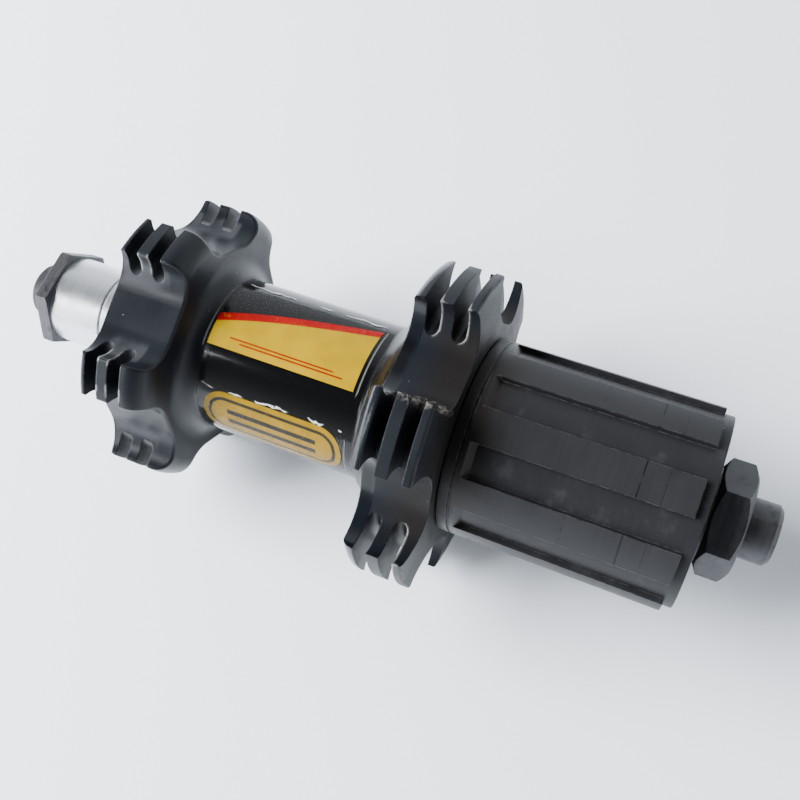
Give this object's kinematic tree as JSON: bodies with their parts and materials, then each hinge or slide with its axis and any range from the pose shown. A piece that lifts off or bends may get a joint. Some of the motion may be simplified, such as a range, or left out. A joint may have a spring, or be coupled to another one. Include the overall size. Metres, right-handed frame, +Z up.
{
  "type": "hub assembly",
  "caption": "Bicycle rear hub with star-shaped straight-pull spoke flanges, a splined freehub body, a hollow threaded axle and hexagon locknuts.",
  "frame": {"origin": "on the axle's centre line, at the middle of the width over the two locknuts' outer faces", "axes": "+Y along the axle to the left side (the freehub is at -Y), +X forward, +Z up, as on a bicycle"},
  "size_m": [0.0562, 0.14, 0.0538],
  "materials": {
    "axle_steel": "satin",
    "nut_steel": "satin",
    "dark_nut": "satin",
    "satin_aluminium": "satin",
    "shell_black": "gloss",
    "freehub_grey": "satin",
    "hard_steel": "satin",
    "bearing_steel": "polished",
    "cage_nylon": "matte",
    "seal_rubber": "matte",
    "label_yellow": "gloss",
    "badge_gold": "gloss",
    "clear_film": "gloss"
  },
  "bodies": {
    "axle": {"axle": "axle_steel", "left_locknut": "nut_steel", "drive_locknut": "dark_nut", "left_spacer": "satin_aluminium", "left_adjuster_ring": "satin_aluminium", "drive_sleeve": "satin_aluminium", "freehub_inner_sleeve": "satin_aluminium", "end_sleeve": "satin_aluminium", "left_bearing_inner_race": "bearing_steel", "drive_bearing_inner_race": "bearing_steel", "freehub_inner_bearing_inner_race": "bearing_steel", "freehub_outer_bearing_inner_race": "bearing_steel"},
    "hub_shell": {"hub_shell": "shell_black", "ratchet_ring": "hard_steel", "freehub_seal": "seal_rubber", "left_dust_seal": "seal_rubber", "label_panel": "label_yellow", "badge_panel": "badge_gold", "label_cover_film": "clear_film", "left_bearing_outer_race": "bearing_steel", "left_bearing_shields": "seal_rubber", "drive_bearing_outer_race": "bearing_steel", "drive_bearing_shields": "seal_rubber"},
    "freehub": {"freehub_body": "freehub_grey", "pawl_springs": "hard_steel", "freehub_outer_sleeve": "satin_aluminium", "freehub_clip": "hard_steel", "freehub_dust_cap": "seal_rubber", "freehub_inner_bearing_outer_race": "bearing_steel", "freehub_inner_bearing_shields": "seal_rubber", "freehub_outer_bearing_outer_race": "bearing_steel", "freehub_outer_bearing_shields": "seal_rubber"},
    "left_bearing_cage": {"left_bearing_cage": "cage_nylon", "left_bearing_balls": "bearing_steel"},
    "drive_bearing_cage": {"drive_bearing_cage": "cage_nylon", "drive_bearing_balls": "bearing_steel"},
    "freehub_inner_bearing_cage": {"freehub_inner_bearing_cage": "cage_nylon", "freehub_inner_bearing_balls": "bearing_steel"},
    "freehub_outer_bearing_cage": {"freehub_outer_bearing_cage": "cage_nylon", "freehub_outer_bearing_balls": "bearing_steel"},
    "pawl_a": {"pawl_a": "hard_steel"},
    "pawl_b": {"pawl_b": "hard_steel"}
  },
  "joints": [
    {"name": "shell_spin", "type": "hinge", "parent": "axle", "child": "hub_shell", "pos_m": [0, 0, 0], "axis": [0, 1, 0], "continuous": true},
    {"name": "freehub_spin", "type": "hinge", "parent": "axle", "child": "freehub", "pos_m": [0, 0, 0], "axis": [0, 1, 0], "continuous": true},
    {"name": "left_bearing_cage_turn", "type": "hinge", "parent": "axle", "child": "left_bearing_cage", "pos_m": [0, 0, 0], "axis": [0, 1, 0], "continuous": true},
    {"name": "drive_bearing_cage_turn", "type": "hinge", "parent": "axle", "child": "drive_bearing_cage", "pos_m": [0, 0, 0], "axis": [0, 1, 0], "continuous": true},
    {"name": "freehub_inner_bearing_cage_turn", "type": "hinge", "parent": "axle", "child": "freehub_inner_bearing_cage", "pos_m": [0, 0, 0], "axis": [0, 1, 0], "continuous": true},
    {"name": "freehub_outer_bearing_cage_turn", "type": "hinge", "parent": "axle", "child": "freehub_outer_bearing_cage", "pos_m": [0, 0, 0], "axis": [0, 1, 0], "continuous": true},
    {"name": "pawl_a_turn", "type": "hinge", "parent": "freehub", "child": "pawl_a", "pos_m": [0, -0.01655, 0.0136], "axis": [0, -1, 0], "range_deg": [0, 12]},
    {"name": "pawl_b_turn", "type": "hinge", "parent": "freehub", "child": "pawl_b", "pos_m": [0, -0.01655, -0.0136], "axis": [0, -1, 0], "range_deg": [0, 12]}
  ],
  "couplings": [
    {"joint": "left_bearing_cage_turn", "follows": "shell_spin", "ratio": 0.58611},
    {"joint": "drive_bearing_cage_turn", "follows": "shell_spin", "ratio": 0.58611},
    {"joint": "freehub_inner_bearing_cage_turn", "follows": "freehub_spin", "ratio": 0.58611},
    {"joint": "freehub_outer_bearing_cage_turn", "follows": "freehub_spin", "ratio": 0.58611},
    {"joint": "pawl_b_turn", "follows": "pawl_a_turn", "ratio": 1}
  ]
}
